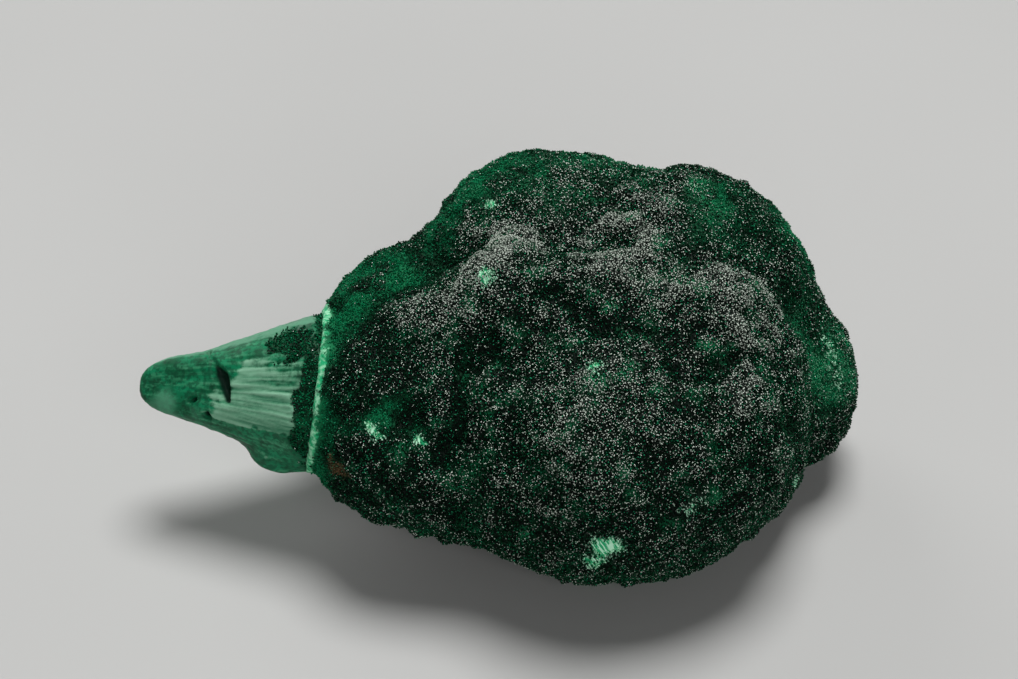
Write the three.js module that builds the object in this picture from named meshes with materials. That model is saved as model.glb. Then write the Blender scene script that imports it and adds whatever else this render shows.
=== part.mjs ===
// A botryoidal malachite specimen: one solid mineral, a lobed velvet dome on a broken fibrous stalk.
// Millimetres, +Z up. The stalk points along -X and the flat broken base lies on z = 0.
import * as THREE from "three";
import { mergeVertices } from "three/addons/utils/BufferGeometryUtils.js";

// Driving dimensions.
const FACETS_AROUND = 72; // facets around the stalk's axis
const FACETS_ALONG = 46; // rings of facets from the tip of the stalk to the far end of the dome
const LOBE_BLEND = 2.4; // how softly neighbouring lobes run into each other
const STALK_BLEND = 0.8; // the same where the stalk leaves the dome

// Lobes of the dome: centre [x, y, z] and radii [x, y, z].
const LOBES = {
  front_dome: [[9.9, -2.9, 10.9], [14.8, 12.2, 12]],
  left_body: [[-4.3, 0, 11], [12, 11, 9.2]],
  front_left: [[-1, -4, 7.6], [6.2, 5.2, 5.6]],
  left_shoulder: [[-6.4, 7, 12], [8.9, 9, 8]],
  brow_left: [[1.3, 2, 19], [5.4, 5.4, 6.2]],
  brow_far_left: [[-3.5, 1, 16], [5, 5, 5.6]],
  brow_middle: [[9.5, 1.8, 19.2], [6.2, 5.2, 5.8]],
  brow_right: [[17, 0.7, 17.9], [5.4, 5.4, 6.2]],
  brow_side: [[21.2, 0, 13.5], [4.2, 6, 6.5]],
  right_cheek: [[22, -1.5, 6.5], [3.4, 4.5, 5]],
  back_left_crown: [[5, 13, 17.6], [10.8, 9, 8.2]],
  back_right_crown: [[15.8, 9, 18.1], [9.8, 9.5, 8.5]],
  right_shoulder: [[22.9, 9, 14], [4.7, 6, 5.2]],
  right_flank: [[25.3, 7, 7.8], [5.4, 7, 6.8]],
  right_foot: [[20, 4.5, 5.8], [6, 6, 5.4]],
  rear_foot: [[8, 10, 8], [14.6, 11.6, 9.2]],
};

// Mounds and hollows on the lobes: centre, width and height (a negative height is a hollow).
const MOUNDS = {
  front_mound: [[7.5, -13.5, 17.5], 5, 0.9],
  right_mound: [[19.7, -8, 17.5], 3.5, 0.8],
  under_brow: [[8.3, -5.5, 22.5], 4, -0.5],
  left_pocket: [[-5, -8, 16], 3.5, -0.7],
};

// The stalk: a blunt cone along -X, the knob at its tip, the heel under its wide end,
// and the flat face that it split along, as a point of the face and the way the face looks.
const STALK = { rim: [-15.4, 1, 12], rimRadius: 6.5, tip: [-28.2, 1, 12.6], tipRadius: 1.75 };
const TIP_KNOB = [[-26.6, 1, 12.7], [3, 2.5, 2.5]];
const HEEL = [[-18, -1, 8.3], [3, 3, 2.6]];
const SPLIT_FACE = { point: [-21.8, -1.6, 14.5], facing: [-0.34, -0.72, 0.6] };

// The line inside the stone that its surface points are cast from, and how the casting runs.
const SPINE = { heart: [6, 1, 10.5], stalkEnd: [-14, 1, 12.5] };
const CAST_FROM = 36; // farther from the spine than any point of the surface
const CAST_STEP = 0.4;
const BISECTIONS = 18;

const vector = (xyz) => new THREE.Vector3(...xyz);
const ellipsoid = ([centre, radii]) => ({ centre: vector(centre), radii: vector(radii) });

const lobes = Object.values(LOBES).map(ellipsoid);
const heel = ellipsoid(HEEL);
const tipKnob = ellipsoid(TIP_KNOB);
const mounds = Object.values(MOUNDS);
const rim = vector(STALK.rim);
const tip = vector(STALK.tip);
const splitFace = new THREE.Plane().setFromNormalAndCoplanarPoint(
  vector(SPLIT_FACE.facing).normalize(),
  vector(SPLIT_FACE.point),
);

// About how far p is outside an ellipsoid (negative inside).
function outsideEllipsoid(p, { centre, radii }) {
  const scaled = p.clone().sub(centre).divide(radii);
  const slope = scaled.clone().divide(radii).length();
  return (scaled.length() * (scaled.length() - 1)) / Math.max(slope, 1e-6);
}

// About how far p is outside a cone with rounded ends (negative inside).
function outsideRoundCone(p, a, b, radiusA, radiusB) {
  const axis = b.clone().sub(a);
  const along = THREE.MathUtils.clamp(p.clone().sub(a).dot(axis) / axis.lengthSq(), 0, 1);
  const middle = a.clone().addScaledVector(axis, along);
  return p.distanceTo(middle) - THREE.MathUtils.lerp(radiusA, radiusB, along);
}

// The smaller of two distances, rounded off over a width.
function smoothMin(a, b, width) {
  const h = Math.max(width - Math.abs(a - b), 0) / width;
  return Math.min(a, b) - (h * h * width) / 4;
}

// Negative inside the stalk, positive outside it.
function outsideStalk(p) {
  const cone = outsideRoundCone(p, rim, tip, STALK.rimRadius, STALK.tipRadius);
  const ends = [tipKnob, heel].map((end) => outsideEllipsoid(p, end));
  const whole = ends.reduce((d, end) => smoothMin(d, end, STALK_BLEND), cone);
  return -smoothMin(-whole, -splitFace.distanceToPoint(p), STALK_BLEND);
}

// Negative inside the stone, positive outside it.
function outsideStone(p) {
  const dome = lobes.reduce((d, lobe) => smoothMin(d, outsideEllipsoid(p, lobe), LOBE_BLEND), Infinity);
  const relief = mounds.reduce((sum, [centre, width, height]) => {
    return sum + height * Math.exp(-p.distanceToSquared(vector(centre)) / (width * width));
  }, 0);
  return smoothMin(dome - relief, outsideStalk(p), STALK_BLEND);
}

// The outermost surface point along a ray from the spine.
function surfaceAlong(origin, direction) {
  const at = (t) => origin.clone().addScaledVector(direction, t);
  let outside = CAST_FROM;
  while (outside > 0 && outsideStone(at(outside - CAST_STEP)) > 0) outside -= CAST_STEP;
  let inside = outside - CAST_STEP;
  for (let i = 0; i < BISECTIONS; i++) {
    const middle = (inside + outside) / 2;
    if (outsideStone(at(middle)) > 0) outside = middle;
    else inside = middle;
  }
  return at(inside);
}

function stoneGeometry() {
  const ball = new THREE.SphereGeometry(1, FACETS_AROUND, FACETS_ALONG);
  ball.rotateZ(Math.PI / 2); // the poles lie on the stalk's axis, so rings of facets run round it
  ball.deleteAttribute("normal");
  ball.deleteAttribute("uv");
  const geometry = mergeVertices(ball);
  const position = geometry.getAttribute("position");
  const heart = vector(SPINE.heart);
  const stalkEnd = vector(SPINE.stalkEnd);
  for (let i = 0; i < position.count; i++) {
    const direction = new THREE.Vector3().fromBufferAttribute(position, i).normalize();
    const origin = heart.clone().lerp(stalkEnd, THREE.MathUtils.smoothstep(-direction.x, 0, 1));
    const p = surfaceAlong(origin, direction);
    position.setXYZ(i, p.x, p.y, Math.max(p.z, 0));
  }
  geometry.computeBoundingBox();
  const centre = geometry.boundingBox.getCenter(new THREE.Vector3());
  geometry.translate(-centre.x, -centre.y, 0);
  geometry.computeVertexNormals();
  return geometry;
}

const specimen = new THREE.Group();
const malachite = new THREE.MeshStandardMaterial({ color: 0x14331f, roughness: 0.75, metalness: 0 });
const stone = new THREE.Mesh(stoneGeometry(), malachite);
stone.name = "malachite_specimen";
specimen.add(stone);

export default specimen;
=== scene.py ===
"""A velvet malachite specimen: a lobed dome under a crust of fine crystals, and a broken, silky stalk.

Metres, +Z up. The stalk points along -X, and the front of the dome looks along -Y.
"""

import math

import bmesh
import bpy
import numpy as np
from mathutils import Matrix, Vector


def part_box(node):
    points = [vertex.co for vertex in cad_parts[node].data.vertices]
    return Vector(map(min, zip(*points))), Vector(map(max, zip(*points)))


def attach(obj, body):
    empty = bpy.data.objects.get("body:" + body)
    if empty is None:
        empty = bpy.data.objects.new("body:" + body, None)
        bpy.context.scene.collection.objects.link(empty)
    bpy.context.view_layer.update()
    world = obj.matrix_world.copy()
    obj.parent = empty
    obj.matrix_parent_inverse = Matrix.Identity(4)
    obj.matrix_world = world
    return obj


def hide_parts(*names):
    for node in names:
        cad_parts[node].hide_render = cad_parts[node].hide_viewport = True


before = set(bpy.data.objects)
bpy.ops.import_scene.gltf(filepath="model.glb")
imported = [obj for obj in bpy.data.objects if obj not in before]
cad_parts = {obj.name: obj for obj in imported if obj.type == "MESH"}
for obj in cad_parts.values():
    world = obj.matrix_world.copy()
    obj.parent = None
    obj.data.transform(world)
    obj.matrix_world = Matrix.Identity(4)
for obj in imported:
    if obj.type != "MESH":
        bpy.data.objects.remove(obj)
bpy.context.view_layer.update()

NODE = "malachite_specimen"
BODY = "root"
MM = 0.001

low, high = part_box(NODE)
size = high - low


def at(x, y, z):
    """A place given as shares of the stone's box."""
    return np.array([low.x + x * size.x, low.y + y * size.y, low.z + z * size.z])


# Where the stalk ends and the dome begins, and the point that the stalk's fibres spread from.
RIM_X = at(0.25, 0, 0)[0]
RIM_LEAN = 0.15  # how far the rim moves along +X for each unit it rises
STALK_AXIS = at(0, 0.48, 0.465)
FIBRE_APEX = STALK_AXIS - np.array([5 * MM, 0, 0])
FIBRE_REACH = 12 * MM  # how far from the apex a fibre is as wide as its stated width
FIBRE_CHANGE = 0.06  # how fast a fibre changes along its length, as a share of how fast across it
SPLIT_FACING = np.array([-0.34, -0.72, 0.60])  # the way the stalk's flat split face looks
TUCK = 0.3  # how much of its radius the stalk loses where it runs on inside the dome
LAP = 0.45 * MM  # how far the dome and the stalk run into each other past the rim

# Mesh sizes.
DOME_VOXEL = 0.26 * MM
STALK_VOXEL = 0.13 * MM
ROUND_OFF_LEVELS = 2
SMOOTH_ROUNDS = 6

# Rounds of smoothing that wipe out the fine crests, and the broad crowns. How far a place stands out
# from the smoothed surface tells how worn its crystals are, and how much painted highlight or shade their
# tips get.
CREST_ROUNDS = 10
CROWN_ROUNDS = 150

# Fresh green bruises on the velvet: centre, radius and strength.
BRUISES = [
    (at(0.636, 0.008, 0.355), 1.7 * MM, 1.05),
    (at(0.620, 0.012, 0.290), 1.1 * MM, 0.9),
    (at(0.331, 0.203, 0.592), 1.0 * MM, 1.0),
    (at(0.343, 0.195, 0.565), 0.8 * MM, 0.9),
    (at(0.390, 0.173, 0.577), 0.5 * MM, 0.9),
    (at(0.621, 0.216, 0.815), 1.2 * MM, 0.72),
    (at(0.484, 0.424, 0.917), 1.1 * MM, 0.68),
    (at(0.745, 0.030, 0.490), 1.5 * MM, 0.52),
    (at(0.483, 0.701, 0.907), 0.9 * MM, 0.70),
    (at(0.903, 0.286, 0.270), 1.0 * MM, 0.80),
]
STREAK = [at(0.940, 0.560, 0.560), at(0.955, 0.510, 0.470), at(0.969, 0.481, 0.406)]
STREAK_RADII = [0.6 * MM, 1.3 * MM, 0.7 * MM]
STREAK_STRENGTH = 0.42
RUST_SPOT = (at(0.287, 0.205, 0.430), 1.3 * MM)

# The brow: a ridge that runs across the top of the dome's front. A hollow lies under it, and a valley
# runs from there down to the left of the front mound.
BROW_KNOB = at(0.510, 0.584, 0.890)
BROW = [
    at(0.403, 0.367, 0.786),
    at(0.457, 0.450, 0.888),
    BROW_KNOB,
    at(0.605, 0.575, 0.900),
    at(0.684, 0.483, 0.937),
    at(0.762, 0.415, 0.907),
    at(0.829, 0.356, 0.819),
]
UNDER_BROW = [
    at(0.576, 0.388, 0.880),
    at(0.642, 0.344, 0.872),
    at(0.714, 0.299, 0.846),
    at(0.790, 0.280, 0.800),
]
VALLEY = [at(0.510, 0.317, 0.805), at(0.464, 0.249, 0.709), at(0.418, 0.172, 0.583)]
BROW_HEIGHT = 0.45 * MM
BROW_REACH = 2.8 * MM
UNDER_BROW_DEPTH = 0.55 * MM
UNDER_BROW_REACH = 2.2 * MM
VALLEY_DEPTH = 0.55 * MM
VALLEY_REACH = 2.0 * MM

# Further swells and hollows of the dome: centre, radius and height.
SWELLS = [
    (at(0.510, 0.584, 0.884), 1.4 * MM, 0.45 * MM),
    (at(0.613, 0.100, 0.720), 4.2 * MM, 0.60 * MM),
    (at(0.818, 0.200, 0.728), 2.4 * MM, 0.45 * MM),
    (at(0.371, 0.212, 0.634), 1.7 * MM, -0.60 * MM),
    (at(0.884, 0.500, 0.752), 1.8 * MM, -0.70 * MM),
    (at(0.884, 0.235, 0.544), 1.6 * MM, -0.40 * MM),
    (at(0.633, 0.683, 0.946), 2.2 * MM, -0.45 * MM),
]

# Where the crystals' tips are pale and silvery, besides the brow, partly their own colour and partly a
# painted highlight where the high light falls: centre, radius and strength.
SILVER_HIGHLIGHT_PATCHES = [
    (at(0.630, 0.190, 0.800), 11.5 * MM, 0.85),
    (BROW_KNOB, 4.0 * MM, 0.9),
    (at(0.820, 0.220, 0.730), 5.0 * MM, 0.9),
    (at(0.660, 0.640, 0.950), 9.5 * MM, 0.9),
    (at(0.950, 0.520, 0.480), 6.0 * MM, 0.6),
]
SILVER_HIGHLIGHT_BROW_REACH = 6.0 * MM
SILVER_HIGHLIGHT_BROW_STRENGTH = 0.95
SILVER_HIGHLIGHT_KNOB_RADIUS = 1.4 * MM

# Flanks where the crystals show a clear green: centre and radius.
GREEN_PATCHES = [
    (at(0.33, 0.62, 0.70), 5.5 * MM),
    (at(0.28, 0.45, 0.62), 3.5 * MM),
    (at(0.30, 0.27, 0.60), 2.0 * MM),
    (at(0.50, 0.90, 0.75), 5.0 * MM),
    (at(0.45, 0.80, 0.85), 5.0 * MM),
    (at(0.58, 0.80, 0.95), 4.5 * MM),
    (at(0.79, 0.66, 0.97), 4.0 * MM),
    (at(0.70, 0.95, 0.80), 5.0 * MM),
    (at(0.95, 0.52, 0.52), 4.2 * MM),
    (at(0.92, 0.72, 0.80), 4.5 * MM),
    (at(0.745, 0.038, 0.532), 1.6 * MM),
]

# The green collar on the dome beside the rim, and the distances past the rim between which it fades.
COLLAR_STRENGTH = 0.6
COLLAR_FADE = (1.0 * MM, 3.6 * MM)

# The crystals nearest to the rim are duller than the rest, less and less between these distances.
DULL_STRENGTH = 0.6
DULL_FADE = (3 * MM, 11 * MM)

# The broken base shows no crystals; it gives way to them between these heights.
BASE_FADE = (0.6 * MM, 1.6 * MM)

# The pale rim and its palest place, and a dip that keeps the shoulder behind it from being too steep.
RIM_FADE = (-0.15 * MM, 0.40 * MM)  # the distances along the dome between which the rim fades
RIM_BLOB = (at(0.256, 0.500, 0.675), 0.9 * MM)
SHOULDER_DIP = (at(0.260, 0.550, 0.700), 1.5 * MM)
SHOULDER_DIP_DEPTH = 0.9 * MM

# The stalk's split face starts at this place, and fades out between these heights.
SPLIT_START_X = at(0.08, 0, 0)[0]
SPLIT_START_Z = 11.2 * MM
SPLIT_TOP_FADE = (15.0 * MM, 17.6 * MM)

# The stalk's dark band beside the rim, widest at its top; the crack near the tip; and small pits.
BAND_WIDTH = 1.0 * MM
BAND_WIDTH_FRONT = 1.0 * MM  # added on the split side
BAND_PATCH = (at(0.213, 0.43, 0.665), 2.9 * MM)
BAND_FOOT_FADE = (7 * MM, 9 * MM)  # the band starts between these heights
CRACK = [at(0.097, 0.465, 0.582), at(0.119, 0.395, 0.572), at(0.124, 0.355, 0.515)]
CRACK_RADII = [0.30 * MM, 0.85 * MM, 0.50 * MM]
PITS = [(at(0.077, 0.376, 0.490), 0.35 * MM), (at(0.095, 0.350, 0.455), 0.42 * MM)]
# The stalk's upper edge looks up and back, towards the high light, and gets a painted highlight.
UPPER_EDGE_FACING = np.array([-0.30, 0.45, 0.84])  # the way the stalk's pale upper edge looks

# Paler spots on the stalk's tip.
SOFT_SPOTS = [(at(0.035, 0.385, 0.460), 1.7 * MM), (at(0.075, 0.345, 0.440), 1.2 * MM)]

# The crust of crystals: one piece for each sector round the dome's middle, and one on the stalk.
DOME_MIDDLE = at(0.62, 0.48, 0)
SECTORS = ("right", "back_right", "back", "back_left", "left", "front_left", "front", "front_right")
CRYSTAL_SPACING = 0.137 * MM
CRYSTAL_WIDTH = 0.17 * MM
CRYSTAL_LENGTH = 0.18 * MM
CRYSTAL_LEAN = 36  # degrees, at most
CLUMP_SIZE = 0.38 * MM
CLUMP_HEIGHT = 0.11 * MM
FIRST_SEED = 11
SMALLEST = 0.6  # of the width and the length
LARGEST = 1.3

# One crystal's rings, at its foot and at its slanted tip: radius and the heights of the corners, as
# shares of its width and its length. Its faces are the underside, the tip and the sides.
CRYSTAL_RINGS = [(0.5, (0.0, 0.0, 0.0)), (0.34, (1.0, 0.8, 0.9))]
CRYSTAL_FACES = [(0, 2, 1), (3, 4, 5), (0, 1, 4, 3), (1, 2, 5, 4), (2, 0, 3, 5)]


# Helpers for node trees.


def new_tree(name, inputs):
    """An empty geometry node tree, with the named inputs after its geometry."""
    tree = bpy.data.node_groups.new(name, "GeometryNodeTree")
    tree.interface.new_socket("Geometry", in_out="INPUT", socket_type="NodeSocketGeometry")
    tree.interface.new_socket("Geometry", in_out="OUTPUT", socket_type="NodeSocketGeometry")
    for label, kind in inputs.items():
        tree.interface.new_socket(label, in_out="INPUT", socket_type="NodeSocket" + kind)
    return tree


def add(tree, kind, sockets=None, **settings):
    """Adds a node. Each socket is given a value, or the output that feeds it."""
    made = tree.nodes.new(kind)
    for name, value in settings.items():
        setattr(made, name, value)
    for name, value in (sockets or {}).items():
        if isinstance(value, bpy.types.NodeSocket):
            tree.links.new(value, made.inputs[name])
        else:
            made.inputs[name].default_value = value
    return made


def maths(tree, operation, *values, clamp=False):
    """One Math node's result."""
    made = add(tree, "ShaderNodeMath", dict(enumerate(values)), operation=operation, use_clamp=clamp)
    return made.outputs[0]


def product(tree, *values):
    made = values[0]
    for value in values[1:]:
        made = maths(tree, "MULTIPLY", made, value)
    return made


def total(tree, *values):
    made = values[0]
    for value in values[1:]:
        made = maths(tree, "ADD", made, value)
    return made


def vector_maths(tree, operation, first, second):
    """The vector that a Vector Math node makes of two others."""
    return add(tree, "ShaderNodeVectorMath", {0: first, 1: second}, operation=operation).outputs[0]


def centred(tree, value):
    """Moves a value that runs from 0 to 1 so that it runs from -0.5 to 0.5."""
    return maths(tree, "SUBTRACT", value, 0.5)


def scaled(tree, vector, factor):
    """The vector times a number, or times a number on each axis where factor is a tuple."""
    if isinstance(factor, tuple):
        return vector_maths(tree, "MULTIPLY", vector, factor)
    sockets = {0: vector, "Scale": factor}
    return add(tree, "ShaderNodeVectorMath", sockets, operation="SCALE").outputs[0]


def noise(tree, where, detail=3.0, roughness=0.5):
    """Soft noise from 0 to 1 with features about one unit across."""
    sockets = {"Vector": where, "Scale": 1.0, "Detail": detail, "Roughness": roughness}
    return add(tree, "ShaderNodeTexNoise", sockets).outputs[0]


def cells(tree, where, feature="SMOOTH_F1"):
    """Distance to the middle of the nearest of many cells about one unit across."""
    return add(tree, "ShaderNodeTexVoronoi", {"Vector": where, "Scale": 1.0}, feature=feature).outputs[0]


def stretch(tree, value, start, end, to_start=0.0, to_end=1.0):
    """Maps start..end onto to_start..to_end with a smooth step, and holds it there."""
    sockets = {0: value, 1: start, 2: end, 3: to_start, 4: to_end}
    return add(tree, "ShaderNodeMapRange", sockets, interpolation_type="SMOOTHSTEP").outputs[0]


# Helpers for meshes.


def new_object(name, mesh):
    made = bpy.data.objects.new(name, mesh)
    bpy.context.scene.collection.objects.link(made)
    return made


def plain_mesh(thing, name):
    """The evaluated shape of an object as a plain mesh, with its attributes kept."""
    bpy.context.view_layer.update()
    graph = bpy.context.evaluated_depsgraph_get()
    shape = thing.evaluated_get(graph)
    mesh = bpy.data.meshes.new_from_object(shape, preserve_all_data_layers=True, depsgraph=graph)
    mesh.name = name
    return mesh


def run_tree(thing, tree, values, name):
    """Runs a geometry tree on an object with these inputs, and returns the plain mesh that it makes."""
    modifier = thing.modifiers.new(tree.name, "NODES")
    modifier.node_group = tree
    for item in tree.interface.items_tree:
        if item.in_out == "INPUT" and item.name in values:
            modifier[item.identifier] = values[item.name]
    mesh = plain_mesh(thing, name)
    thing.modifiers.remove(modifier)
    return mesh


def read(items, name):
    """A vector of each vertex or face, one to a row."""
    flat = np.empty(len(items) * 3)
    items.foreach_get(name, flat)
    return flat.reshape(-1, 3)


def move_to(mesh, points):
    mesh.vertices.foreach_set("co", points.ravel())
    mesh.update()


def store(mesh, name, values, domain="POINT", kind="FLOAT"):
    layer = mesh.attributes.new(name, kind, domain)
    layer.data.foreach_set("value", values)


def rise(start, end, value):
    """0 before start, 1 after end, and a smooth step between them."""
    share = np.clip((value - start) / (end - start), 0, 1)
    return share * share * (3 - 2 * share)


def near(points, centre, radius):
    """1 at the centre, falling to 0 at one and a half radii."""
    return 1 - rise(0, 1.5 * radius, np.linalg.norm(points - centre, axis=1))


def near_any(points, spots):
    """1 at the centre of any of the spots, each a centre and a radius, falling to 0 round them."""
    return np.max([near(points, centre, radius) for centre, radius in spots], axis=0)


def strongest(points, spots):
    """As near_any, but each spot also has a strength, which is the value at its centre."""
    return np.max([strength * near(points, centre, radius) for centre, radius, strength in spots], axis=0)


def near_line(points, corners, radii):
    """1 along a line through the corners, falling to 0 at a radius, or at a radius for each corner."""
    radii = np.broadcast_to(radii, len(corners))
    best = np.zeros(len(points))
    for number, (start, end) in enumerate(zip(corners, corners[1:])):
        along = end - start
        share = np.clip((points - start) @ along / (along @ along), 0, 1)
        gap = np.linalg.norm(points - start - share[:, None] * along, axis=1)
        radius = radii[number] + share * (radii[number + 1] - radii[number])
        best = np.maximum(best, 1 - rise(0.3, 1.0, gap / radius))
    return best


def waves(points, feature_size, seed):
    """Smooth random heights around 0, mostly within -1 and 1, with features of this size."""
    count = 24
    draw = np.random.default_rng(seed)
    turns = draw.normal(size=(3, count)) * (2.6 / feature_size)
    starts = draw.uniform(0, math.tau, count)
    return np.sin(points @ turns + starts).sum(axis=1) / 4


def warped(points, feature_size, distance, seed=1):
    """The points moved about at random, so that what is drawn with them has a ragged edge."""
    shifts = [waves(points, feature_size, seed + axis) for axis in range(3)]
    return points + distance * np.stack(shifts, axis=1)


# The two halves of the stone.


def stone_half(name, past_rim, keep_right, voxel):
    """The CAD stone smoothed, cut along the rim or this far past it, closed, and remeshed evenly."""
    made = new_object(name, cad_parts[NODE].data.copy())
    made.data.materials.clear()
    work = bmesh.new()
    work.from_mesh(made.data)
    bmesh.ops.remove_doubles(work, verts=work.verts, dist=1e-6)
    work.to_mesh(made.data)
    work.free()
    round_off = made.modifiers.new("round_off", "SUBSURF")
    round_off.levels = ROUND_OFF_LEVELS
    round_off.render_levels = ROUND_OFF_LEVELS
    made.data = plain_mesh(made, name)
    made.modifiers.clear()

    work = bmesh.new()
    work.from_mesh(made.data)
    cut = bmesh.ops.bisect_plane(
        work,
        geom=work.verts[:] + work.edges[:] + work.faces[:],
        dist=1e-7,
        plane_co=(RIM_X + past_rim, 0, STALK_AXIS[2]),
        plane_no=Vector((1, 0, -RIM_LEAN)).normalized(),
        clear_inner=keep_right,
        clear_outer=not keep_right,
    )
    rim_edges = [part for part in cut["geom_cut"] if isinstance(part, bmesh.types.BMEdge)]
    bmesh.ops.contextual_create(work, geom=rim_edges)
    bmesh.ops.triangulate(work, faces=[face for face in work.faces if len(face.verts) > 4])
    bmesh.ops.recalc_face_normals(work, faces=work.faces)
    work.to_mesh(made.data)
    work.free()

    even = made.modifiers.new("even", "REMESH")
    even.mode = "VOXEL"
    even.voxel_size = voxel
    soften = made.modifiers.new("soften", "SMOOTH")
    soften.iterations = SMOOTH_ROUNDS
    soften.factor = 0.5
    made.data = plain_mesh(made, name)
    made.modifiers.clear()
    return made


def beyond_rim(points):
    """How far along +X each point lies past the rim between the stalk and the dome."""
    return points[:, 0] - RIM_X - RIM_LEAN * (points[:, 2] - STALK_AXIS[2])


def dome_swell(points, wide):
    """How far the dome's broad shape stands out from the smoothed CAD stone, or lies under it."""
    swell = BROW_HEIGHT * near_line(wide, BROW, BROW_REACH)
    swell -= UNDER_BROW_DEPTH * near_line(wide, UNDER_BROW, UNDER_BROW_REACH)
    swell -= VALLEY_DEPTH * near_line(wide, VALLEY, VALLEY_REACH)
    for centre, radius, height in SWELLS:
        swell += height * near(points, centre, radius)
    return swell - SHOULDER_DIP_DEPTH * near(points, *SHOULDER_DIP)


def dome_silver_and_highlight(points, wide, collar):
    """How silvery the crystals are, partly their own colour and partly a painted highlight: most on the brow
    and its knob, and least beside the rim.
    """
    silver_and_highlight = strongest(wide, SILVER_HIGHLIGHT_PATCHES)
    on_brow = SILVER_HIGHLIGHT_BROW_STRENGTH * near_line(wide, BROW, SILVER_HIGHLIGHT_BROW_REACH)
    silver_and_highlight += on_brow + 0.15 * waves(points, 1.8 * MM, 23)
    silver_and_highlight -= collar + DULL_STRENGTH * (1 - rise(*DULL_FADE, beyond_rim(points)))
    return silver_and_highlight + near(wide, BROW_KNOB, SILVER_HIGHLIGHT_KNOB_RADIUS)


def dome_green(points, wide, collar):
    """How green the crystals are, in patches that are broken up by coarse, middling and fine waves."""
    green = np.maximum(near_any(wide, GREEN_PATCHES), collar)
    coarse = 0.25 * waves(points, 4 * MM, 24)
    middling = 0.30 * waves(points, 1.7 * MM, 21)
    fine = 0.2 * waves(points, 0.8 * MM, 22)
    green *= 0.85 + coarse + middling + fine
    return np.clip(1.2 * green, 0, 1)


def mark_dome(mesh):
    """Stores on the dome where its crust is green, silvery (partly a painted highlight), bruised, rusty,
    pebbly, rimmed or broken.
    """
    points = read(mesh.vertices, "co")
    facing = read(mesh.vertices, "normal")
    rough = warped(warped(points, 1.3 * MM, 0.22 * MM), 0.5 * MM, 0.07 * MM, seed=5)
    wide = warped(points, 6 * MM, 1.3 * MM, seed=9)
    past_rim = beyond_rim(warped(warped(points, 1.6 * MM, 0.16 * MM), 0.5 * MM, 0.06 * MM, seed=15))
    rim = 1 - rise(*RIM_FADE, past_rim)
    rim *= np.clip(0.85 + 0.25 * waves(points, 1.6 * MM, 12), 0.6, 1)
    rim = np.maximum(rim, near(points, *RIM_BLOB))
    base = 1 - rise(*BASE_FADE, rough[:, 2])
    bruise = strongest(rough, BRUISES)
    bruise = np.maximum(bruise, STREAK_STRENGTH * near_line(rough, STREAK, STREAK_RADII))
    collar = COLLAR_STRENGTH - COLLAR_STRENGTH * rise(*COLLAR_FADE, beyond_rim(wide))
    left_low = 1 - rise(5 * MM, 10 * MM, points[:, 2])
    left_low *= rise(0.1, 0.8, -0.7 * facing[:, 1] - 0.7 * facing[:, 0])
    # No crystals stand on the rim, the broken base or the bare middle of a bruise.
    velvet = (1 - base) * rise(0.12 * MM, 0.5 * MM, past_rim) * (1 - rise(0.6, 0.9, bruise))
    store(mesh, "rim", rim)
    store(mesh, "base", base)
    store(mesh, "bruise", bruise)
    store(mesh, "swell", dome_swell(points, wide))
    store(mesh, "silver_and_highlight", dome_silver_and_highlight(points, wide, collar))
    store(mesh, "green", dome_green(points, wide, collar))
    store(mesh, "rust", near(rough, *RUST_SPOT))
    store(mesh, "pebbly", left_low)
    store(mesh, "velvet", velvet)


def mark_stalk(mesh):
    """Stores on the stalk its split face, upper edge (for a painted highlight), crystal band, crack, pits and
    hidden end.
    """
    points = read(mesh.vertices, "co")
    facing = read(mesh.vertices, "normal")
    rough = warped(warped(points, 1.4 * MM, 0.25 * MM), 0.5 * MM, 0.08 * MM, seed=5)
    soft = warped(points, 1.4 * MM, 0.12 * MM)
    to_rim = -beyond_rim(rough)
    split_share = facing @ (SPLIT_FACING / np.linalg.norm(SPLIT_FACING))
    split = rise(0.84, 0.94, split_share + 0.02 * waves(points, 1.0 * MM, 3))
    past_start = rough[:, 0] - SPLIT_START_X - 0.8 * (rough[:, 2] - SPLIT_START_Z)
    split *= rise(-0.6 * MM, 1.0 * MM, past_start)
    split *= 1 - 0.8 * rise(*SPLIT_TOP_FADE, rough[:, 2] - 0.1 * (rough[:, 0] - RIM_X))
    edge_share = facing @ UPPER_EDGE_FACING + 0.012 * waves(points, 1.0 * MM, 4)
    reach = BAND_WIDTH + BAND_WIDTH_FRONT * rise(0.55, 0.8, split_share)
    band = 1 - rise(-0.35 * MM, 0.45 * MM, to_rim - reach)
    band = np.maximum(band, rise(0.4, 0.7, near(rough, *BAND_PATCH)))
    band *= rise(*BAND_FOOT_FADE, rough[:, 2])
    hidden = rise(-0.35 * MM, 0.10 * MM, beyond_rim(points))
    crack = np.maximum(near_line(soft, CRACK, CRACK_RADII), near_any(soft, PITS))
    store(mesh, "split", split)
    store(mesh, "lit_edge", rise(0.92, 1.0, edge_share))
    store(mesh, "swell", -SHOULDER_DIP_DEPTH * near(points, *SHOULDER_DIP))
    store(mesh, "soft_spot", near_any(soft, SOFT_SPOTS))
    store(mesh, "band", band)
    store(mesh, "crack", crack)
    store(mesh, "silver_and_highlight", np.full(len(points), -0.5))
    store(mesh, "bruise", np.zeros(len(points)))
    store(mesh, "rust", np.zeros(len(points)))
    store(mesh, "green", np.full(len(points), 0.5))
    store(mesh, "velvet", rise(0.15, 0.9, band) * (1 - rise(0.3, 0.6, hidden)))
    # The hidden end is drawn in towards the stalk's axis, under the dome.
    points[:, 1:] += TUCK * hidden[:, None] * (STALK_AXIS[1:] - points[:, 1:])
    move_to(mesh, points)


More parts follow.
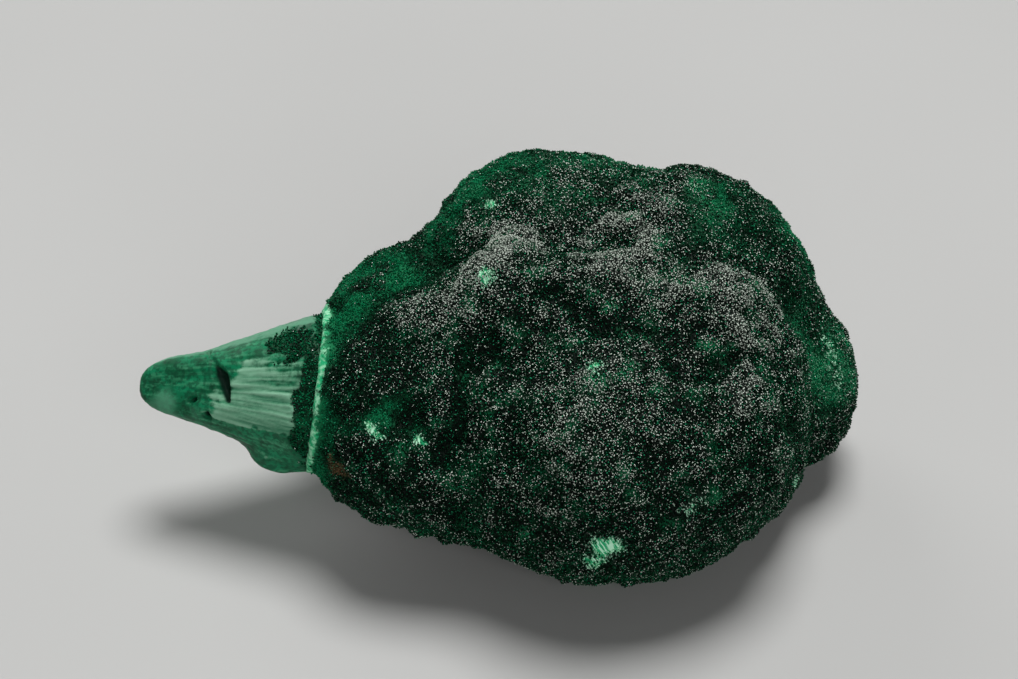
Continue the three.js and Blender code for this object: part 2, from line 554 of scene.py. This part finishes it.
def lift(tree, geometry, height, material):
    """Ends a relief tree: lifts the surface along its normals, and stores how far each place stands out."""
    normal = add(tree, "GeometryNodeInputNormal").outputs[0]
    moves = {"Geometry": geometry, "Offset": scaled(tree, normal, height)}
    made = add(tree, "GeometryNodeSetPosition", moves).outputs[0]
    for name, rounds in (("crest", CREST_ROUNDS), ("crown", CROWN_ROUNDS)):
        place = add(tree, "GeometryNodeInputPosition").outputs[0]
        soft = add(tree, "GeometryNodeBlurAttribute", {"Iterations": rounds}, data_type="FLOAT_VECTOR")
        place_in = next(socket for socket in soft.inputs if socket.enabled and socket.name == "Value")
        tree.links.new(place, place_in)
        soft_place = next(socket for socket in soft.outputs if socket.enabled)
        proud = vector_maths(tree, "SUBTRACT", place, soft_place)
        outward = add(tree, "ShaderNodeVectorMath", {0: proud, 1: normal}, operation="DOT_PRODUCT")
        made = stored(tree, made, name, outward.outputs["Value"])
    end_tree(tree, made, material)


def end_tree(tree, geometry, material):
    """Makes the instances real, gives them the material and hands them out of the tree."""
    real = add(tree, "GeometryNodeRealizeInstances", {"Geometry": geometry}).outputs[0]
    dressed = add(tree, "GeometryNodeSetMaterial", {"Geometry": real, "Material": material}).outputs[0]
    tree.links.new(dressed, tree.nodes.new("NodeGroupOutput").inputs[0])


def field(tree, name):
    """An attribute of the mesh that the tree works on, as a number."""
    return add(tree, "GeometryNodeInputNamedAttribute", {"Name": name}, data_type="FLOAT").outputs[0]


def stored(tree, geometry, name, value):
    """The geometry with a number stored at each point under this name."""
    sockets = {"Geometry": geometry, "Name": name, "Value": value}
    return add(tree, "GeometryNodeStoreNamedAttribute", sockets, data_type="FLOAT", domain="POINT").outputs[0]


def dome_relief_tree():
    """Mounds, knobs, pebbles and a fine grain on the dome, and the raised rim beside the stalk."""
    sizes = ("Mound Size", "Mound Height", "Knob Size", "Knob Height", "Grain Size", "Grain Height")
    more = ("Pebble Size", "Pebble Height", "Rim Height")
    tree = new_tree("dome_relief", {**dict.fromkeys(sizes + more, "Float"), "Material": "Material"})
    given = tree.nodes.new("NodeGroupInput").outputs
    place = add(tree, "GeometryNodeInputPosition").outputs[0]

    def in_units_of(label):
        return scaled(tree, place, maths(tree, "DIVIDE", 1.0, given[label]))

    skin = maths(tree, "SUBTRACT", 1.0, maths(tree, "MAXIMUM", field(tree, "base"), field(tree, "rim")))
    skin = maths(tree, "MAXIMUM", skin, 0.0)
    mounds = centred(tree, noise(tree, in_units_of("Mound Size"), detail=1.5))
    knob_shape = stretch(tree, cells(tree, in_units_of("Knob Size")), 0.75, 0.0)
    knob_share = stretch(tree, noise(tree, in_units_of("Mound Size"), detail=3.0), 0.35, 0.6)
    pebble_shape = stretch(tree, cells(tree, in_units_of("Pebble Size"), "F1"), 0.7, 0.1)
    grain = centred(tree, noise(tree, in_units_of("Grain Size"), detail=3.0))
    height = total(
        tree,
        field(tree, "swell"),
        product(tree, mounds, given["Mound Height"], skin),
        product(tree, knob_shape, knob_share, given["Knob Height"], skin),
        product(tree, pebble_shape, field(tree, "pebbly"), given["Pebble Height"], skin),
        product(tree, grain, given["Grain Height"]),
        product(tree, field(tree, "rim"), given["Rim Height"]),
        product(tree, field(tree, "bruise"), -0.35, given["Rim Height"]),
    )
    lift(tree, given["Geometry"], height, given["Material"])
    return tree


def stalk_relief_tree():
    """Fibres that spread from the apex, and broad lumps; the band, the crack and the pits lie lower."""
    sizes = ("Fibre Width", "Fibre Depth", "Band Depth", "Crack Depth", "Lump Size", "Lump Height")
    kinds = {**dict.fromkeys(sizes, "Float"), "Apex": "Vector", "Material": "Material"}
    tree = new_tree("stalk_relief", kinds)
    given = tree.nodes.new("NodeGroupInput").outputs
    place = add(tree, "GeometryNodeInputPosition").outputs[0]
    from_apex = vector_maths(tree, "SUBTRACT", place, given["Apex"])
    distance = add(tree, "ShaderNodeVectorMath", {0: from_apex}, operation="LENGTH").outputs["Value"]
    # Each fibre keeps its direction from the apex, so it widens away from it, and changes slowly along
    # its length.
    spread = scaled(tree, from_apex, maths(tree, "DIVIDE", FIBRE_REACH, distance))
    along = scaled(tree, from_apex, FIBRE_CHANGE)
    fibre_place = vector_maths(tree, "ADD", spread, along)
    in_widths = scaled(tree, fibre_place, maths(tree, "DIVIDE", 1.0, given["Fibre Width"]))
    fibres = centred(tree, noise(tree, in_widths, detail=4.0, roughness=0.6))
    in_lumps = scaled(tree, place, maths(tree, "DIVIDE", 1.0, given["Lump Size"]))
    lumps = centred(tree, noise(tree, in_lumps, detail=3.0))
    fibre_share = maths(tree, "MULTIPLY_ADD", field(tree, "split"), 0.65, 0.35)
    height = total(
        tree,
        product(tree, fibres, fibre_share, given["Fibre Depth"]),
        field(tree, "swell"),
        product(tree, lumps, given["Lump Height"]),
        product(tree, field(tree, "band"), -1.0, given["Band Depth"]),
        product(tree, field(tree, "crack"), -1.0, given["Crack Depth"]),
    )
    lift(tree, stored(tree, given["Geometry"], "fibre", fibres), height, given["Material"])
    return tree


# The crust of crystals.


def crystal_seed():
    """One crystal of unit width and length: a three-sided prism that narrows to a slanted tip."""
    corners = []
    for radius, heights in CRYSTAL_RINGS:
        for side, height in enumerate(heights):
            turn = side * math.tau / 3
            corners.append((radius * math.cos(turn), radius * math.sin(turn), height))
    mesh = bpy.data.meshes.new("crystal_seed")
    mesh.from_pydata(corners, [], CRYSTAL_FACES)
    store(mesh, "up", [0.0, 0.0, 0.0, 1.0, 1.0, 1.0])
    store(mesh, "tip", [0.0, 1.0, 0.0, 0.0, 0.0], "FACE")
    return new_object("crystal_seed", mesh)


def map_crystals(mesh):
    """Gives each crystal a square of its own on the map for baked colours, with its tip in the middle."""
    turns = np.arange(3) * math.tau / 3
    ring = np.stack([np.cos(turns), np.sin(turns)], axis=1)
    # The sides lie between two rings round the tip, and the hidden underside in a corner.
    foot_radius = 0.48
    tip_radius = 0.27
    places = np.concatenate([0.5 + foot_radius * ring, 0.5 + tip_radius * ring])
    underside = [(0.82, 0.96), (0.96, 0.96), (0.96, 0.82)]
    one = np.array(underside + [places[corner] for face in CRYSTAL_FACES[1:] for corner in face])
    count = len(mesh.loops) // len(one)
    across = math.ceil(math.sqrt(count))
    squares = np.stack([np.arange(count) % across, np.arange(count) // across], axis=1)
    layer = mesh.uv_layers.new(name="OFBake")
    layer.data.foreach_set("uv", ((squares[:, None] + one) / across).ravel())


def crystal_tree():
    """Crystals that stand on the surface, leaning at random, as densely as its velvet attribute says."""
    kinds = {
        "Crystal": "Object",
        "Sector": "Int",
        "Spacing": "Float",
        "Width": "Float",
        "Length": "Float",
        "Lean": "Float",
        "Clump Size": "Float",
        "Clump Height": "Float",
        "Seed": "Int",
        "Material": "Material",
    }
    tree = new_tree("crystal_crust", kinds)
    given = tree.nodes.new("NodeGroupInput").outputs
    sector = add(tree, "GeometryNodeInputNamedAttribute", {"Name": "sector"}, data_type="INT").outputs[0]
    wanted = add(tree, "FunctionNodeCompare", data_type="INT", operation="EQUAL")
    tree.links.new(sector, wanted.inputs["A"])
    tree.links.new(given["Sector"], wanted.inputs["B"])
    closest = maths(tree, "MULTIPLY", given["Spacing"], 0.6)
    tightest = maths(tree, "DIVIDE", 1.15, product(tree, given["Spacing"], given["Spacing"]))
    sown = add(
        tree,
        "GeometryNodeDistributePointsOnFaces",
        {
            "Mesh": given["Geometry"],
            "Selection": wanted.outputs[0],
            "Distance Min": closest,
            "Density Max": tightest,
            "Density Factor": field(tree, "velvet"),
            "Seed": given["Seed"],
        },
        distribute_method="POISSON",
    )
    lean_back = maths(tree, "MULTIPLY", given["Lean"], -1.0)
    least = add(tree, "ShaderNodeCombineXYZ", {0: lean_back, 1: lean_back, 2: 0.0}).outputs[0]
    most = add(tree, "ShaderNodeCombineXYZ", {0: given["Lean"], 1: given["Lean"], 2: math.tau}).outputs[0]

    def random_value(kind, lowest, highest, shift):
        """A random value for each crystal; shift keeps the draws apart."""
        draw = add(tree, "FunctionNodeRandomValue", data_type=kind)
        tree.links.new(maths(tree, "ADD", given["Seed"], float(shift)), draw.inputs["Seed"])
        ends = [socket for socket in draw.inputs if socket.enabled and socket.name in ("Min", "Max")]
        for socket, value in zip(ends, (lowest, highest)):
            if isinstance(value, bpy.types.NodeSocket):
                tree.links.new(value, socket)
            else:
                socket.default_value = value
        return next(socket for socket in draw.outputs if socket.enabled)

    turn = random_value("FLOAT_VECTOR", least, most, 1)
    turned = add(tree, "FunctionNodeEulerToRotation", {0: turn}).outputs[0]
    stand = add(
        tree,
        "FunctionNodeRotateRotation",
        {"Rotation": sown.outputs["Rotation"], "Rotate By": turned},
        rotation_space="LOCAL",
    )
    wide = product(tree, given["Width"], random_value("FLOAT", SMALLEST, LARGEST, 2))
    long = product(tree, given["Length"], random_value("FLOAT", SMALLEST, LARGEST, 3))
    size_of_each = add(tree, "ShaderNodeCombineXYZ", {0: wide, 1: wide, 2: long}).outputs[0]
    # The crystals stand in clumps that rise above their neighbours.
    place = add(tree, "GeometryNodeInputPosition").outputs[0]
    clump_place = scaled(tree, place, maths(tree, "DIVIDE", 1.0, given["Clump Size"]))
    clump = stretch(tree, noise(tree, clump_place, detail=1.0), 0.3, 0.7)
    marked = stored(tree, sown.outputs["Points"], "tone", random_value("FLOAT", 0.0, 1.0, 4))
    marked = stored(tree, marked, "clump", clump)
    height = product(tree, centred(tree, clump), given["Clump Height"])
    moves = {"Geometry": marked, "Offset": scaled(tree, sown.outputs["Normal"], height)}
    raised = add(tree, "GeometryNodeSetPosition", moves).outputs[0]
    shape = add(tree, "GeometryNodeObjectInfo", {"Object": given["Crystal"]}).outputs["Geometry"]
    planted = add(
        tree,
        "GeometryNodeInstanceOnPoints",
        {"Points": raised, "Instance": shape, "Rotation": stand.outputs[0], "Scale": size_of_each},
    )
    end_tree(tree, planted.outputs[0], given["Material"])
    return tree


def mark_sectors(mesh, count):
    """Gives each face the number of the sector that it lies in, counted round the dome from +X."""
    from_middle = read(mesh.polygons, "center") - DOME_MIDDLE
    angle = np.arctan2(from_middle[:, 1], from_middle[:, 0])
    sector = np.round(angle / (math.tau / count)).astype(int) % count
    store(mesh, "sector", sector, "FACE", "INT")


# Materials.


def new_material(name, roughness, shine):
    """A material and its tree, and the shader in it, with plain values on its sockets."""
    made = bpy.data.materials.new(name)
    made.use_nodes = True
    shader = next(node for node in made.node_tree.nodes if node.type == "BSDF_PRINCIPLED")
    shader.inputs["Roughness"].default_value = roughness
    shader.inputs["Specular IOR Level"].default_value = shine
    return made, made.node_tree, shader


def mark(tree, name):
    """An attribute of the mesh, as a number."""
    return add(tree, "ShaderNodeAttribute", attribute_name=name).outputs["Fac"]


def blend(tree, share, first, second):
    """A colour between two, each a colour or the output of another blend."""
    made = add(tree, "ShaderNodeMix", {0: share}, data_type="RGBA")
    for place, value in ((6, first), (7, second)):
        if isinstance(value, bpy.types.NodeSocket):
            tree.links.new(value, made.inputs[place])
        else:
            made.inputs[place].default_value = (*value, 1.0)
    return made.outputs[2]


def here_in(tree, unit):
    """The place on the object, in the given unit of length."""
    place = add(tree, "ShaderNodeTexCoord").outputs["Object"]
    return scaled(tree, place, 1 / unit)


# The colours of the ground and the crystals.
BLACK_GREEN = (0.0015, 0.006, 0.0035)
DEEP_GREEN = (0.004, 0.085, 0.032)
CLEAR_GREEN = (0.006, 0.160, 0.060)
FLANK_GREEN = (0.004, 0.235, 0.090)
VIVID_GREEN = (0.02, 0.30, 0.14)
BRIGHT_GREEN = (0.020, 0.420, 0.170)
HAZY_GREEN = (0.260, 0.560, 0.360)
MINT = (0.34, 0.76, 0.48)
PALE_MINT = (0.560, 0.970, 0.700)
# The pale tip colour is partly the crystals' own and partly a painted highlight.
SILVER_HIGHLIGHT_TIP = (0.70, 0.78, 0.68)
# The near-white of a painted glint.
PAINTED_GLINT = (0.80, 0.84, 0.78)
RUST = (0.150, 0.085, 0.040)

# The colours of the stalk's fibre.
# Near black: painted shade for the crack and the pits.
CRACK_SHADE_GREEN = (0.004, 0.022, 0.013)
PIT_GREEN = (0.002, 0.040, 0.018)
DARK_SATIN = (0.003, 0.088, 0.035)
SATIN_GREEN = (0.005, 0.215, 0.092)
SATIN_SHEEN = (0.045, 0.29, 0.14)
LIT_EDGE_GREEN = (0.11, 0.31, 0.19)
SOFT_GREEN = (0.10, 0.34, 0.20)
SPLIT_SHADE = (0.030, 0.19, 0.095)
SPLIT_PALE = (0.25, 0.51, 0.34)

# The two greys that cloud the floor.
FLOOR_DARKER = (0.47, 0.47, 0.46)
FLOOR_PALER = (0.51, 0.51, 0.50)

# How large the colours' patches, grains and streaks are.
PATCH_SIZE = 2.2 * MM
GROUND_GRAIN = 0.25 * MM
FIBRE_GRAIN = 0.4 * MM
RIM_STREAK = 0.45 * MM
FLOOR_CLOUD = 60 * MM

# The stripes of a bruise's bare middle: their size across, into the stone and along, and their turn
# in degrees.
STRIPE_SIZE = (0.16 * MM, 1.0 * MM, 1.2 * MM)
STRIPE_TURN = 28


def roughened(tree, value, grain, amount):
    """The value made uneven by a grain that runs from 0 to 1."""
    return maths(tree, "MULTIPLY_ADD", centred(tree, grain), amount, value)


def crystal_material():
    """Crystals with green sides and dark, green or silvery tips; most silvery where the crust stands out,
    partly by wear and partly as a painted highlight.
    """
    made, tree, shader = new_material("velvet_crystal", 0.4, 0.06)
    tone = mark(tree, "tone")
    clump = mark(tree, "clump")
    silver_and_highlight = mark(tree, "silver_and_highlight")
    swell = mark(tree, "swell")
    flank = mark(tree, "green")
    # Random tone, with paler tips on raised clumps: a painted highlight.
    mixed = maths(tree, "ADD", product(tree, tone, 0.75), product(tree, clump, 0.25))
    # How green each crystal is: patches, with every crystal a little greener or blacker than the next.
    patches = noise(tree, here_in(tree, PATCH_SIZE), detail=3.0)
    other_tone = maths(tree, "FRACT", product(tree, tone, 7.0))
    green = total(
        tree,
        product(tree, flank, 0.85),
        stretch(tree, patches, 0.60, 0.85, 0.0, 0.4),
        product(tree, centred(tree, other_tone), 0.7, stretch(tree, flank, 0.0, 0.3, 0.3, 1.0)),
    )
    green = stretch(tree, green, 0.0, 1.0)
    # How worn each crystal is, and how lit, as a painted highlight on raised places and painted shade in low
    # ones; from that, how pale its tip is.
    worn_and_lit = total(
        tree,
        stretch(tree, mark(tree, "crest"), -0.12 * MM, 0.12 * MM, -0.18, 0.18),
        stretch(tree, mark(tree, "crown"), -0.7 * MM, 0.7 * MM, -0.11, 0.11),
        stretch(tree, swell, -0.5 * MM, 0.5 * MM, -0.08, 0.08),
        product(tree, silver_and_highlight, 0.22),
        product(tree, flank, -0.36),
    )
    pale = stretch(tree, maths(tree, "ADD", mixed, worn_and_lit), 0.67, 0.88)
    hazy = product(tree, stretch(tree, mixed, 0.2, 0.8, 0.3, 1.0), stretch(tree, silver_and_highlight, 0.0, 0.8))
    vivid = stretch(tree, tone, 0.16, 0.10)
    # About one crystal in a hundred gets a near-white tip: a painted glint.
    painted_glint = stretch(tree, tone, 0.988, 0.992)
    tip = blend(tree, green, BLACK_GREEN, blend(tree, hazy, FLANK_GREEN, HAZY_GREEN))
    tip = blend(tree, vivid, tip, VIVID_GREEN)
    tip = blend(tree, pale, tip, SILVER_HIGHLIGHT_TIP)
    tip = blend(tree, painted_glint, tip, PAINTED_GLINT)
    # Painted shade: the sides are black at the foot, in low clumps and in hollows; near a worn tip they turn
    # pale, partly wear and partly a painted highlight.
    side = blend(tree, green, DEEP_GREEN, FLANK_GREEN)
    hollow_shade = stretch(tree, swell, -0.5 * MM, 0.1 * MM, 0.65, 1.0)
    lit = product(tree, maths(tree, "POWER", mark(tree, "up"), 1.5), stretch(tree, clump, 0.1, 0.8), hollow_shade)
    lit = maths(tree, "MAXIMUM", lit, product(tree, green, 0.7))
    side = blend(tree, lit, BLACK_GREEN, side)
    frosted_and_highlit = product(tree, pale, mark(tree, "up"), stretch(tree, worn_and_lit, 0.2, 0.8, 0.0, 0.7))
    side = blend(tree, frosted_and_highlit, side, SILVER_HIGHLIGHT_TIP)
    colour = blend(tree, mark(tree, "tip"), side, tip)
    rusty = roughened(tree, mark(tree, "rust"), tone, 0.7)
    colour = blend(tree, stretch(tree, rusty, 0.35, 0.9, 0.0, 0.6), colour, RUST)
    bruised = roughened(tree, mark(tree, "bruise"), tone, 0.7)
    fresh = blend(tree, stretch(tree, tone, 0.4, 0.85), BRIGHT_GREEN, PALE_MINT)
    colour = blend(tree, stretch(tree, bruised, 0.45, 0.75), colour, fresh)
    tree.links.new(colour, shader.inputs["Base Color"])
    return made


def dome_material():
    """The stone under the crystals: black to deep green, mint where bruised, pale along the rim."""
    made, tree, shader = new_material("malachite_ground", 0.7, 0.10)
    patches = noise(tree, here_in(tree, PATCH_SIZE), detail=4.0)
    fine = noise(tree, here_in(tree, GROUND_GRAIN), detail=4.0, roughness=0.6)
    green = maths(tree, "ADD", mark(tree, "green"), stretch(tree, patches, 0.5, 0.75), clamp=True)
    colour = blend(tree, green, BLACK_GREEN, CLEAR_GREEN)
    # A bruise is bright green round its edge, with pale stripes across its bare middle.
    place = add(tree, "ShaderNodeTexCoord").outputs["Object"]
    turn = {"Vector": place, "Angle": math.radians(STRIPE_TURN)}
    turned = add(tree, "ShaderNodeVectorRotate", turn, rotation_type="Y_AXIS").outputs[0]
    stripes = noise(tree, scaled(tree, turned, tuple(1 / length for length in STRIPE_SIZE)), detail=2.0)
    bruised = roughened(tree, mark(tree, "bruise"), fine, 0.9)
    colour = blend(tree, stretch(tree, bruised, 0.45, 0.65), colour, BRIGHT_GREEN)
    striped = roughened(tree, maths(tree, "MINIMUM", bruised, 0.8), stripes, 3.0)
    colour = blend(tree, stretch(tree, striped, 0.65, 0.9), colour, PALE_MINT)
    rusty = roughened(tree, mark(tree, "rust"), fine, 1.0)
    colour = blend(tree, stretch(tree, rusty, 0.4, 0.9), colour, RUST)
    rim = roughened(tree, mark(tree, "rim"), fine, 1.6)
    streaky = stretch(tree, noise(tree, here_in(tree, RIM_STREAK), detail=3.0), 0.40, 0.65)
    colour = blend(tree, stretch(tree, rim, 0.35, 0.8), colour, blend(tree, streaky, BRIGHT_GREEN, MINT))
    base = blend(tree, fine, DEEP_GREEN, BRIGHT_GREEN)
    colour = blend(tree, mark(tree, "base"), colour, base)
    tree.links.new(colour, shader.inputs["Base Color"])
    tree.links.new(stretch(tree, fine, 0.3, 0.7, 0.55, 0.8), shader.inputs["Roughness"])
    return made


def stalk_material():
    """Silky fibre: pale where it is split, satin green elsewhere with a painted highlight along the upper
    edge, almost black in the band, and in the crack as painted shade.
    """
    made, tree, shader = new_material("silky_fibre", 0.55, 0.16)
    fibre = stretch(tree, mark(tree, "fibre"), -0.22, 0.22)
    fine = noise(tree, here_in(tree, FIBRE_GRAIN), detail=4.0, roughness=0.6)
    patches = stretch(tree, noise(tree, here_in(tree, PATCH_SIZE), detail=3.0), 0.35, 0.65)
    plain = blend(tree, patches, DARK_SATIN, SATIN_GREEN)
    plain = blend(tree, stretch(tree, fibre, 0.4, 0.95, 0.0, 0.6), plain, SATIN_SHEEN)
    plain = blend(tree, stretch(tree, fine, 0.55, 0.42, 0.0, 0.6), plain, PIT_GREEN)
    # The upper edge is paler: a painted highlight where it faces the high light.
    lit_edge = roughened(tree, roughened(tree, mark(tree, "lit_edge"), fibre, 0.7), fine, 0.7)
    plain = blend(tree, stretch(tree, lit_edge, 0.1, 1.0, 0.0, 0.9), plain, LIT_EDGE_GREEN)
    soft_spot = roughened(tree, mark(tree, "soft_spot"), patches, 0.3)
    plain = blend(tree, stretch(tree, soft_spot, 0.2, 1.0, 0.0, 0.7), plain, SOFT_GREEN)
    pale = blend(tree, fibre, SPLIT_SHADE, SPLIT_PALE)
    split = roughened(tree, roughened(tree, mark(tree, "split"), fibre, 0.5), fine, 0.5)
    colour = blend(tree, stretch(tree, split, 0.2, 0.7), plain, pale)
    band = roughened(tree, mark(tree, "band"), fine, 0.9)
    dark = blend(tree, patches, BLACK_GREEN, DEEP_GREEN)
    colour = blend(tree, stretch(tree, band, 0.4, 0.7), colour, dark)
    # The carved crack and pits are near black: painted shade.
    crack = roughened(tree, mark(tree, "crack"), fine, 0.4)
    colour = blend(tree, stretch(tree, crack, 0.35, 0.75), colour, CRACK_SHADE_GREEN)
    tree.links.new(colour, shader.inputs["Base Color"])
    tree.links.new(stretch(tree, fibre, 0.0, 1.0, 0.4, 0.6), shader.inputs["Roughness"])
    return made


def floor_material():
    """A plain, pale grey floor with a very faint, broad cloud in it."""
    made, tree, shader = new_material("pale_floor", 0.9, 0.2)
    cloud = noise(tree, here_in(tree, FLOOR_CLOUD), detail=2.0)
    tree.links.new(blend(tree, cloud, FLOOR_DARKER, FLOOR_PALER), shader.inputs["Base Color"])
    return made


# The stage: floor, light and camera.


def make_floor():
    half = 1.5
    mesh = bpy.data.meshes.new("floor")
    corners = [(-half, -half, 0), (half, -half, 0), (half, half, 0), (-half, half, 0)]
    mesh.from_pydata(corners, [], [(0, 1, 2, 3)])
    mesh.materials.append(floor_material())
    new_object("floor", mesh)


def aim(thing, place, target):
    """Puts a light or the camera at a place, looking at the target."""
    thing.location = place
    thing.rotation_mode = "QUATERNION"
    thing.rotation_quaternion = (Vector(target) - Vector(place)).to_track_quat("-Z", "Y")


def make_light(name, place, spread, strength):
    """A far soft light that shines from this side; its spread, in degrees, softens the shadows."""
    lamp = bpy.data.lights.new(name, "SUN")
    lamp.angle = math.radians(spread)
    lamp.energy = strength
    made = bpy.data.objects.new(name, lamp)
    bpy.context.scene.collection.objects.link(made)
    aim(made, place, (low + high) / 2)


def make_camera():
    """Azimuth 0, 40 degrees above the horizon, close enough for the stone to fill most of the width."""
    target = Vector(at(0.51, 0.554, 0.529))
    elevation = math.radians(40)
    distance = 3.93 * size.x
    back = Vector((0, -math.cos(elevation), math.sin(elevation)))
    camera = bpy.data.objects.new("camera", bpy.data.cameras.new("camera"))
    bpy.context.scene.collection.objects.link(camera)
    camera.data.lens = 100
    camera.data.clip_start = 0.01
    aim(camera, target + back * distance, target)
    bpy.context.scene.camera = camera


def make_surroundings():
    """A pale grey studio, brightest along the horizon and dim overhead."""
    world = bpy.data.worlds.new("studio")
    world.use_nodes = True
    tree = world.node_tree
    direction = add(tree, "ShaderNodeTexCoord").outputs["Generated"]
    up = add(tree, "ShaderNodeSeparateXYZ", {0: direction}).outputs["Z"]
    backdrop = tree.nodes["Background"]
    backdrop.inputs["Color"].default_value = (0.95, 0.96, 0.98, 1)
    at_horizon = 0.50
    overhead = 0.07
    tree.links.new(stretch(tree, up, 0.06, 0.30, at_horizon, overhead), backdrop.inputs["Strength"])
    bpy.context.scene.world = world


def make_stage():
    make_floor()
    make_camera()
    make_light("soft_sky", (0.05, 0.14, 0.50), 28, 2.9)
    make_light("soft_front", (0.12, -0.50, 0.30), 40, 0.7)
    make_light("soft_back", (-0.30, 0.40, 0.25), 40, 0.7)
    make_surroundings()
    bpy.context.scene.view_settings.view_transform = "Standard"


# The stone.


def place_piece(piece):
    """Rides the piece on the stone's body, in place of the CAD node."""
    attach(piece, BODY)
    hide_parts(NODE)


def make_dome():
    """The dome, with its relief in the mesh; it stands flat on its broken base."""
    dome = stone_half("stone_dome", -LAP, True, DOME_VOXEL)
    mark_dome(dome.data)
    relief = {
        "Mound Size": 4.2 * MM,
        "Mound Height": 1.25 * MM,
        "Knob Size": 1.25 * MM,
        "Knob Height": 0.42 * MM,
        "Pebble Size": 2.0 * MM,
        "Pebble Height": 0.5 * MM,
        "Grain Size": 0.5 * MM,
        "Grain Height": 0.12 * MM,
        "Rim Height": 0.12 * MM,
        "Material": dome_material(),
    }
    dome.data = run_tree(dome, dome_relief_tree(), relief, "stone_dome")
    points = read(dome.data.vertices, "co")
    points[:, 2] = np.maximum(points[:, 2], low.z)
    move_to(dome.data, points)
    dome.data.shade_smooth()
    return dome


def make_stalk():
    """The stalk, with its fibres and its crack in the mesh."""
    stalk = stone_half("stone_stalk", LAP, False, STALK_VOXEL)
    mark_stalk(stalk.data)
    relief = {
        "Fibre Width": 0.32 * MM,
        "Fibre Depth": 0.36 * MM,
        "Band Depth": 0.35 * MM,
        "Crack Depth": 0.9 * MM,
        "Lump Size": 1.6 * MM,
        "Lump Height": 0.32 * MM,
        "Apex": tuple(FIBRE_APEX),
        "Material": stalk_material(),
    }
    stalk.data = run_tree(stalk, stalk_relief_tree(), relief, "stone_stalk")
    stalk.data.shade_smooth()
    return stalk


def make_crust(ground, names, tree, seed_crystal, material):
    """One piece of crystals for each named sector of the ground."""
    mark_sectors(ground.data, len(names))
    pieces = []
    for number, name in enumerate(names):
        values = {
            "Crystal": seed_crystal,
            "Sector": number,
            "Spacing": CRYSTAL_SPACING,
            "Width": CRYSTAL_WIDTH,
            "Length": CRYSTAL_LENGTH,
            "Lean": math.radians(CRYSTAL_LEAN),
            "Clump Size": CLUMP_SIZE,
            "Clump Height": CLUMP_HEIGHT,
            "Seed": FIRST_SEED + number,
            "Material": material,
        }
        mesh = run_tree(ground, tree, values, "velvet_" + name)
        map_crystals(mesh)
        pieces.append(new_object("velvet_" + name, mesh))
    return pieces


make_stage()
dome = make_dome()
stalk = make_stalk()
seed_crystal = crystal_seed()
crust_tree = crystal_tree()
crust_material = crystal_material()
crust = make_crust(dome, SECTORS, crust_tree, seed_crystal, crust_material)
crust += make_crust(stalk, ("stalk",), crust_tree, seed_crystal, crust_material)
bpy.data.objects.remove(seed_crystal)
for piece in [dome, stalk, *crust]:
    place_piece(piece)
